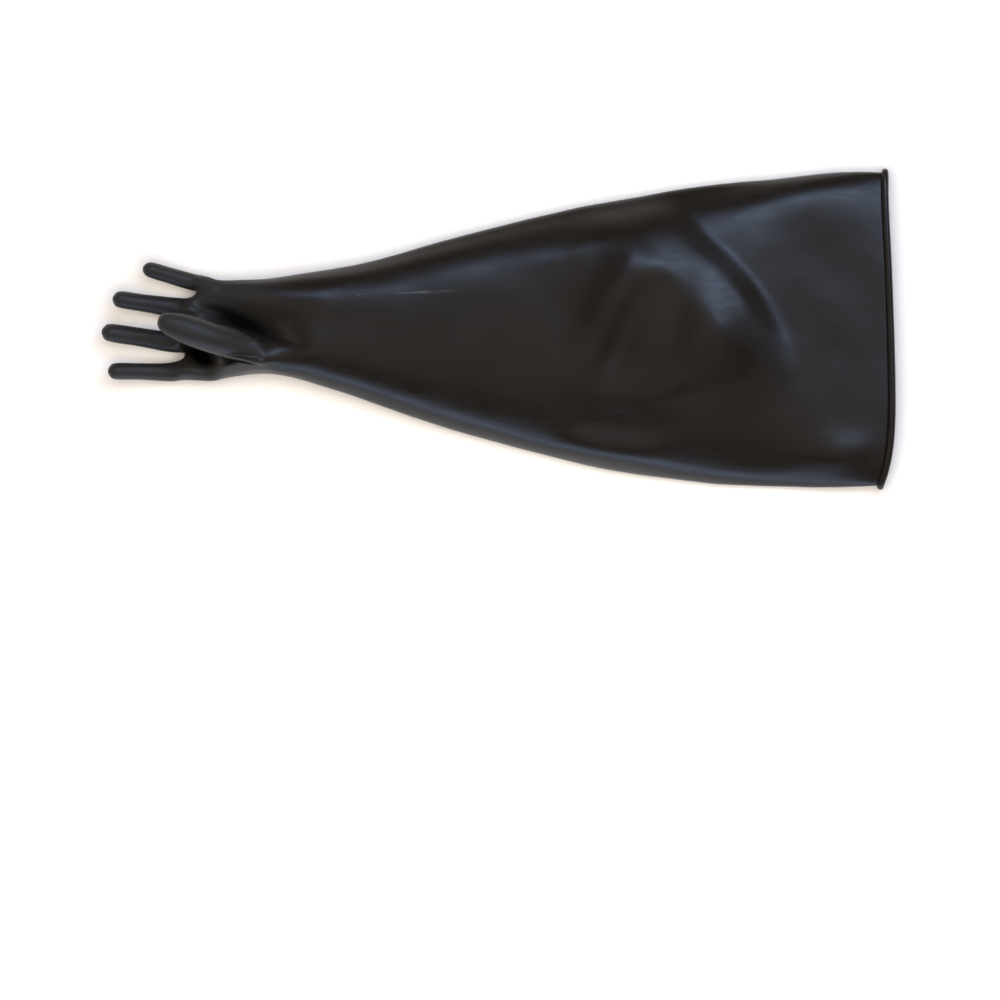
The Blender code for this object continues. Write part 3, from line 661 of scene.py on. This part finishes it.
def fold_sleeve(bm):
    """Moves the sleeve's upper side by the folds, less and less towards its two long edges."""
    bm.normal_update()
    start = FOLDS_START * SLEEVE_LENGTH
    folded = [v for v in bm.verts if v.co.x > start and v.normal.z > FOLDED_SLOPES[0]]
    heights = fold_heights(np.array([v.co.xy for v in folded]))
    for v, height in zip(folded, heights):
        along = v.co.x / SLEEVE_LENGTH
        half = between(SLEEVE_ROWS, along, 1) * CUFF_WIDTH / 2
        middle = between(SLEEVE_ROWS, along, 2) * CUFF_WIDTH
        edge = max(0.0, 1 - ((v.co.y - middle) / half) ** 2)
        ends = smoothstep(FOLDS_START, FOLDS_FULL, along) * smoothstep(1.0, MOUTH_START, along)
        v.co.z += height * edge**FOLD_EDGES * ends * smoothstep(*FOLDED_SLOPES, v.normal.z)


def hollow_palm(bm):
    """Presses the hollows into the palm side, and leaves the thumb above them as it is."""
    thumb = bm.verts.layers.float["thumb"]
    pressed = [v for v in bm.verts if v.co.x < FOLDS_START * SLEEVE_LENGTH and v.normal.z > 0]
    places = np.array([(-v.co.x, v.co.y) for v in pressed])
    total = np.zeros(len(places))
    for depth, width, points in HOLLOWS:
        share, distance = nearest(curve(points, (PALM_LENGTH, PALM_WIDTH)), places)
        away = abs(distance) / (width * PALM_CROWN)
        total += depth * np.exp(-(away**HOLLOW_BEND)) * fading(share)
    for v, depth in zip(pressed, total):
        own = 1 - smoothstep(*THUMB_SHARE, v[thumb])
        v.co.z -= depth * PALM_CROWN * own * smoothstep(*FOLDED_SLOPES, v.normal.z)


def thicken(bm):
    """Gives the film its wall. Returns the wall's vector, inwards, at each point of the outside."""
    bm.normal_update()
    walls = {v: v.normal * -(WALL * min(v.calc_shell_factor(), SHARPEST)) for v in bm.verts}
    outside = list(bm.faces)
    rim = [e.link_loops[0] for e in bm.edges if e.is_boundary]
    inner = {v: bm.verts.new(v.co + wall) for v, wall in walls.items()}
    edges = [(loop.vert, loop.link_loop_next.vert) for loop in rim]
    for face in outside:
        bm.faces.new([inner[v] for v in reversed(face.verts)])
    for a, b in edges:
        bm.faces.new((b, a, inner[a], inner[b]))
    return walls


def rim_loop(bm):
    """The film's edge at the mouth, in order: each point, and the one behind it on the sleeve."""
    start = next(v for v in bm.verts if v.is_boundary)
    loop, last, here = [], None, start
    while here is not start or not loop:
        ends = {e.other_vert(here): e.is_boundary for e in here.link_edges}
        behind = next(v for v, on_rim in ends.items() if not on_rim)
        loop.append((here, behind))
        last, here = here, next(v for v, on_rim in ends.items() if on_rim and v is not last)
    return loop


def bead_section():
    """Outline of the roll round the film's edge: along the film and out from its middle.

    A slot on the sleeve's side takes the film's edge with a gap on both sides and behind.
    """
    radius = BEAD_DIAMETER / 2
    along, out = radius - BEAD_GRIP, BEAD_OUTSET
    slot = WALL / 2 + GAP
    first = math.pi - math.asin((slot - out) / radius)
    last = -math.pi + math.asin((slot + out) / radius)
    outline = [(GAP, slot)]
    for k in range(BEAD_POINTS):
        a = first + (last - first) * k / (BEAD_POINTS - 1)
        outline.append((along + radius * math.cos(a), out + radius * math.sin(a)))
    return [*outline, (GAP, -slot)]


def add_bead(loop, walls):
    """The rolled bead: its section carried round the film's edge, in line with the film there."""
    bm = bmesh.new()
    outline = bead_section()
    rings = []
    for edge, behind in loop:
        wall = walls[edge]
        along = (edge.co - behind.co).normalized()
        out = wall / -WALL
        middle = edge.co + wall / 2
        rings.append([bm.verts.new(middle + along * u + out * v) for u, v in outline])
    for first, second in zip(rings, rings[1:] + rings[:1]):
        join_rings(bm, first, second)
    bmesh.ops.recalc_face_normals(bm, faces=bm.faces)
    return add_object("latex_bead", bm)


def add_object(name, bm):
    mesh = bpy.data.meshes.new(name)
    bm.to_mesh(mesh)
    bm.free()
    mesh.shade_smooth()
    piece = bpy.data.objects.new(name, mesh)
    bpy.context.scene.collection.objects.link(piece)
    return piece


def rest_on_surface(bm):
    for v in bm.verts:
        v.co.z = max(0.0, v.co.z)


def soften(bm):
    """Slight uneven waves all over the film, as a dipped glove has them."""
    bm.normal_update()
    for v in bm.verts:
        if v.co.z < RIPPLE_CLEAR:
            continue
        place = v.co + RIPPLE_SEED
        wave = sum(height * noise.noise(place / length) for length, height in RIPPLES)
        v.co += v.normal * wave


def node(tree, kind, values=None, **settings):
    """A new node with its settings and its inputs' values."""
    made = tree.nodes.new(kind)
    for name, value in settings.items():
        setattr(made, name, value)
    for name, value in (values or {}).items():
        made.inputs[name].default_value = value
    return made


def link(tree, source, out, target, into):
    tree.links.new(source.outputs[out], target.inputs[into])


def cloud(tree, place, scale, size, detail, roughness, offset):
    """A noise pattern whose coordinates are stretched by a scale for each axis."""
    mapping = node(tree, "ShaderNodeMapping", {"Scale": scale, "Location": offset})
    pattern = node(tree, "ShaderNodeTexNoise", {"Scale": size, "Detail": detail, "Roughness": roughness})
    link(tree, place, "Object", mapping, "Vector")
    link(tree, mapping, "Vector", pattern, "Vector")
    return pattern


def levels(tree, source, out, low, high, start=0.0, end=1.0):
    """Spreads the values between low and high over start to end."""
    values = {"From Min": low, "From Max": high, "To Min": start, "To Max": end}
    made = node(tree, "ShaderNodeMapRange", values, interpolation_type="SMOOTHSTEP")
    link(tree, source, out, made, "Value")
    return made


def both(tree, first, second, operation):
    """Two values multiplied, added or compared."""
    made = node(tree, "ShaderNodeMath", operation=operation)
    link(tree, first, 0, made, 0)
    link(tree, second, 0, made, 1)
    return made


def greatest(tree, values):
    """The greatest of several values."""
    most = values[0]
    for value in values[1:]:
        most = both(tree, most, value, "MAXIMUM")
    return most


def raised(tree, rough, share, most):
    """A roughness that is raised by a share of the most that it can gain."""
    made = node(tree, "ShaderNodeMath", {1: most}, operation="MULTIPLY_ADD")
    link(tree, share, 0, made, 0)
    link(tree, rough, 0, made, 2)
    return made


def covered(tree, tone, colour, share):
    """A tone that gives way to a colour by a share."""
    made = node(tree, "ShaderNodeMix", {"B": colour}, data_type="RGBA")
    link(tree, share, 0, made, "Factor")
    link(tree, tone, "Result", made, "A")
    return made


def patch(tree, place, centre, reach, turn=0.0):
    """A soft round mask about a place, with a reach for each axis, turned by degrees from above."""
    values = {"Location": centre, "Rotation": (0, 0, math.radians(turn)), "Scale": reach}
    own = node(tree, "ShaderNodeMapping", values, vector_type="TEXTURE")
    distance = node(tree, "ShaderNodeVectorMath", operation="LENGTH")
    link(tree, place, "Object", own, "Vector")
    link(tree, own, "Vector", distance, 0)
    return levels(tree, distance, "Value", *PATCH_EDGE, 1.0, 0.0)


def paint_crease_shade(tree, place, shader, tone, rough):
    """Paints shade into the creases: a darker tone and a weaker reflection. Returns the latex's tone and
    roughness with them.
    """
    # mask of the painted shade in the creases
    folded = greatest(tree, [patch(tree, place, *crease) for crease in CREASE_SHADE_PATCHES])
    shine = node(tree, "ShaderNodeMath", {1: -CREASE_SHADE_DULLING, 2: SPECULAR}, operation="MULTIPLY_ADD")
    link(tree, folded, 0, shine, 0)
    link(tree, shine, 0, shader, "Specular IOR Level")
    return covered(tree, tone, PAINTED_CREASE_SHADE, folded), raised(tree, rough, folded, CREASE_ROUGHNESS)


def scuffed(tree, place, tone, rough):
    """Lays thin powder on the scuffs. Returns the latex's tone and roughness with them."""
    marks = []
    for centre, reach, scale, size, low, high in SCUFFS:
        lines = levels(tree, cloud(tree, place, scale, size, *SCUFF_NOISE), "Fac", low, high)
        marks.append(both(tree, lines, patch(tree, place, centre, reach), "MULTIPLY"))
    powder = greatest(tree, marks)
    thin = node(tree, "ShaderNodeMath", {1: POWDER_SHARE}, operation="MULTIPLY")
    link(tree, powder, 0, thin, 0)
    return covered(tree, tone, POWDER, thin), raised(tree, rough, powder, SCUFF_ROUGHNESS)


def latex(name, shaded_and_scuffed):
    """Satin black dipped latex: uneven tone and gloss, dip streaks and grain.

    Where this is asked for, it also has painted shade in its creases and pale powder scuffs.
    """
    material = bpy.data.materials.new(name)
    material.use_nodes = True
    tree = material.node_tree
    shader = tree.nodes["Principled BSDF"]
    shader.inputs["IOR"].default_value = LATEX_IOR
    shader.inputs["Metallic"].default_value = 0.0
    place = node(tree, "ShaderNodeTexCoord")
    axes = node(tree, "ShaderNodeSeparateXYZ")
    link(tree, place, "Object", axes, "Vector")

    tone = node(tree, "ShaderNodeMix", {"A": LATEX_DARK, "B": LATEX_LIGHT}, data_type="RGBA")
    blotches = levels(tree, cloud(tree, place, *BLOTCHES), "Fac", *NOISE_MIDDLE)
    link(tree, blotches, "Result", tone, "Factor")
    tone = covered(tree, tone, HAND_LATEX, levels(tree, axes, "X", *HAND_FROM, 1.0, 0.0))

    low, high = ROUGHNESS - STREAK_ROUGHNESS, ROUGHNESS + STREAK_ROUGHNESS
    gloss = levels(tree, cloud(tree, place, *STREAKS), "Fac", *NOISE_MIDDLE, low, high)
    wide = cloud(tree, place, *DRIFT)
    drift = levels(tree, wide, "Fac", *NOISE_MIDDLE, -DRIFT_ROUGHNESS, DRIFT_ROUGHNESS)
    rough = both(tree, gloss, drift, "ADD")
    rough = both(tree, rough, levels(tree, axes, "X", *HAND_FROM, HAND_ROUGHNESS, 0.0), "ADD")

    if shaded_and_scuffed:
        # painted shade in the creases first, then the real powder scuffs
        tone, rough = paint_crease_shade(tree, place, shader, tone, rough)
        tone, rough = scuffed(tree, place, tone, rough)
    link(tree, tone, "Result", shader, "Base Color")
    link(tree, rough, 0, shader, "Roughness")

    long = node(tree, "ShaderNodeBump", {"Strength": 1.0, "Distance": WRINKLE_DEPTH})
    fine = node(tree, "ShaderNodeBump", {"Strength": 1.0, "Distance": GRAIN_DEPTH})
    link(tree, cloud(tree, place, *WRINKLES), "Fac", long, "Height")
    link(tree, cloud(tree, place, *GRAIN), "Fac", fine, "Height")
    link(tree, long, "Normal", fine, "Normal")
    link(tree, fine, "Normal", shader, "Normal")
    return material


def add_light(name, place, size, colour, radiance, target, glossy):
    """A rectangular soft light that faces its target. radiance is how bright its face looks."""
    data = bpy.data.lights.new(name, "AREA")
    data.shape = "RECTANGLE"
    data.size, data.size_y = size
    data.energy = radiance * math.pi * size[0] * size[1]
    data.color = colour
    light = bpy.data.objects.new(name, data)
    light.location = place
    way = Vector(target) - Vector(place)
    light.rotation_euler = way.to_track_quat("-Z", "Y").to_euler()
    light.visible_camera = False
    light.visible_glossy = glossy
    bpy.context.scene.collection.objects.link(light)


def add_floor():
    mesh = bpy.data.meshes.new("floor")
    half = FLOOR_SIZE / 2
    outline = [(-half, -half, 0), (half, -half, 0), (half, half, 0), (-half, half, 0)]
    mesh.from_pydata(outline, [], [(0, 1, 2, 3)])
    floor = bpy.data.objects.new("floor", mesh)
    floor.location.z = -FLOOR_BELOW
    bpy.context.scene.collection.objects.link(floor)
    material = bpy.data.materials.new("floor")
    material.use_nodes = True
    shader = material.node_tree.nodes["Principled BSDF"]
    shader.inputs["Base Color"].default_value = FLOOR_COLOUR
    shader.inputs["Roughness"].default_value = FLOOR_ROUGHNESS
    shader.inputs["Specular IOR Level"].default_value = FLOOR_SPECULAR
    mesh.materials.append(material)


def add_world():
    """Dim brownish surroundings for the reflections, and a pale backdrop for the camera itself."""
    world = bpy.data.worlds.new("studio")
    world.use_nodes = True
    tree = world.node_tree
    dim = tree.nodes["Background"]
    dim.inputs["Color"].default_value = ROOM_COLOUR
    pale = node(tree, "ShaderNodeBackground", {"Color": BACKDROP_COLOUR})
    path = node(tree, "ShaderNodeLightPath")
    mix = node(tree, "ShaderNodeMixShader")
    link(tree, path, "Is Camera Ray", mix, "Fac")
    link(tree, dim, "Background", mix, 1)
    link(tree, pale, "Background", mix, 2)
    link(tree, mix, "Shader", tree.nodes["World Output"], "Surface")
    bpy.context.scene.world = world


def add_camera():
    """Straight above the middle of the picture, whose pixels are as wide as in the photograph."""
    data = bpy.data.cameras.new("camera")
    data.sensor_width = SENSOR_WIDTH
    data.lens = SENSOR_WIDTH * CAMERA_HEIGHT / PICTURE_WIDTH
    data.clip_end = CLIP_END
    camera = bpy.data.objects.new("camera", data)
    camera.location = (PICTURE_CENTRE[0], PICTURE_CENTRE[1], CAMERA_HEIGHT + OUTLINE_HEIGHT)
    bpy.context.scene.collection.objects.link(camera)
    bpy.context.scene.camera = camera


def put_in_place(pieces, film):
    """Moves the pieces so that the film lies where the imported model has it."""
    low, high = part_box("glove_shell")
    places = [v.co for v in film.data.vertices]
    own_low = Vector([min(p[axis] for p in places) for axis in range(3)])
    own_high = Vector([max(p[axis] for p in places) for axis in range(3)])
    move = (low + high - own_low - own_high) / 2
    move.z = low.z - own_low.z
    for piece in pieces:
        for v in piece.data.vertices:
            v.co += move


def main():
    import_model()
    add_camera()
    add_world()
    add_floor()
    for light in LIGHTS:
        add_light(*light)
    bpy.context.scene.view_settings.view_transform = "Standard"

    coarse = cage()
    fit_cage(coarse)
    film = smoothed(coarse)
    fold_sleeve(film)
    hollow_palm(film)
    soften(film)
    rest_on_surface(film)
    rim = rim_loop(film)
    walls = thicken(film)
    bead = add_bead(rim, walls)
    shell = add_object("latex_film", film)
    put_in_place([shell, bead], shell)
    shell.data.materials.append(latex("latex_film", shaded_and_scuffed=True))
    bead.data.materials.append(latex("latex_bead", shaded_and_scuffed=False))
    for piece, cad_node in ((shell, "glove_shell"), (bead, "cuff_bead")):
        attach(piece, "root")
        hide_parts(cad_node)


main()
